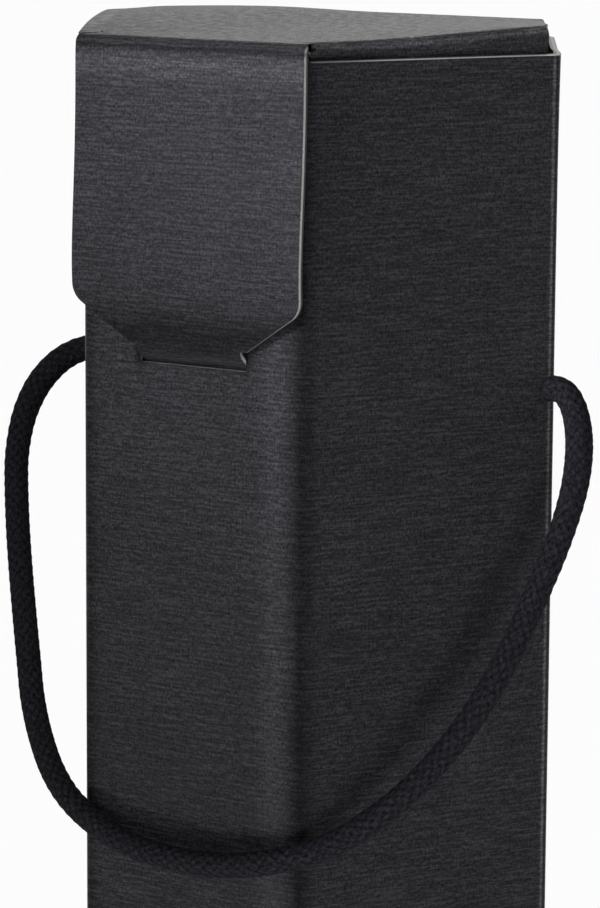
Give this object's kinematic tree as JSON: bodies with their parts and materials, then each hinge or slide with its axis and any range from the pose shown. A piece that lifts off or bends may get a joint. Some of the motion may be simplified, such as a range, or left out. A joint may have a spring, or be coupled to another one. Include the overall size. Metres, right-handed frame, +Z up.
{
  "type": "bottle gift box",
  "caption": "Tall folding carton for a bottle, with flat side panels, a hinged lid that tucks into a slot, a fold-up base and a cord loop handle.",
  "frame": {"origin": "middle of the base's underside, on the box's upright centre line", "axes": "+Z up along the box, -Y out of the front panel with the tongue slot, X from one side corner to the other"},
  "size_m": [0.1397, 0.1058, 0.3534],
  "materials": {
    "board": "satin black paper with a fine embossed streak, grey at the cut edges",
    "cord": "matte black braided cord"
  },
  "bodies": {
    "sleeve": {"front_wall": "board", "front_right_wall": "board", "back_right_wall": "board", "back_wall": "board", "back_left_wall": "board", "front_left_wall": "board", "glue_flap": "board"},
    "lid": {"lid_panel": "board"},
    "lid_flap": {"front_flap": "board"},
    "tongue": {"tuck_tongue": "board"},
    "lid_dust_flap_left": {"lid_dust_left": "board"},
    "lid_dust_flap_right": {"lid_dust_right": "board"},
    "base": {"base_panel": "board"},
    "base_tuck_flap": {"base_tuck": "board"},
    "base_dust_flap_left": {"base_dust_left": "board"},
    "base_dust_flap_right": {"base_dust_right": "board"},
    "handle": {"handle_cord": "cord", "cord_knot_left": "cord", "cord_knot_right": "cord"}
  },
  "joints": [
    {"name": "lid_hinge", "type": "hinge", "parent": "sleeve", "child": "lid", "pos_m": [0, 0.0485, 0.3513], "axis": [-1, 0, 0], "range_deg": [0, 130]},
    {"name": "flap_fold", "type": "hinge", "parent": "lid", "child": "lid_flap", "pos_m": [0, -0.0505, 0.3513], "axis": [-1, 0, 0], "range_deg": [0, 66]},
    {"name": "tongue_fold", "type": "hinge", "parent": "lid_flap", "child": "tongue", "pos_m": [0, -0.0505, 0.2933], "axis": [-1, 0, 0], "range_deg": [0, 40]},
    {"name": "lid_dust_left_fold", "type": "hinge", "parent": "lid", "child": "lid_dust_flap_left", "pos_m": [-0.03669, -0.02118, 0.3534], "axis": [-0.5, 0.866, 0], "range_deg": [0, 53]},
    {"name": "lid_dust_right_fold", "type": "hinge", "parent": "lid", "child": "lid_dust_flap_right", "pos_m": [0.03669, -0.02118, 0.3534], "axis": [-0.5, -0.866, 0], "range_deg": [0, 53]},
    {"name": "base_hinge", "type": "hinge", "parent": "sleeve", "child": "base", "pos_m": [0, 0.0485, 0.0021], "axis": [1, 0, 0], "range_deg": [0, 100]},
    {"name": "base_tuck_fold", "type": "hinge", "parent": "base", "child": "base_tuck_flap", "pos_m": [0, -0.04647, 0.00246], "axis": [1, 0, 0], "range_deg": [0, 36]},
    {"name": "base_dust_left_fold", "type": "hinge", "parent": "sleeve", "child": "base_dust_flap_left", "pos_m": [-0.0405, -0.02338, 0.0039], "axis": [-0.5, 0.866, 0], "range_deg": [0, 81]},
    {"name": "base_dust_right_fold", "type": "hinge", "parent": "sleeve", "child": "base_dust_flap_right", "pos_m": [0.0405, -0.02338, 0.0039], "axis": [-0.5, -0.866, 0], "range_deg": [0, 81]},
    {"name": "handle_swing", "type": "hinge", "parent": "sleeve", "child": "handle", "pos_m": [0, 0, 0.2835], "axis": [-1, 0, 0], "range_deg": [0, 134]}
  ],
  "couplings": [
    {"joint": "flap_fold", "follows": "lid_hinge", "ratio": 0.5},
    {"joint": "tongue_fold", "follows": "lid_hinge", "ratio": 0.3},
    {"joint": "lid_dust_left_fold", "follows": "lid_hinge", "ratio": 0.4},
    {"joint": "lid_dust_right_fold", "follows": "lid_hinge", "ratio": 0.4},
    {"joint": "base_tuck_fold", "follows": "base_hinge", "ratio": 0.35},
    {"joint": "base_dust_left_fold", "follows": "base_hinge", "ratio": 0.8},
    {"joint": "base_dust_right_fold", "follows": "base_hinge", "ratio": 0.8}
  ]
}
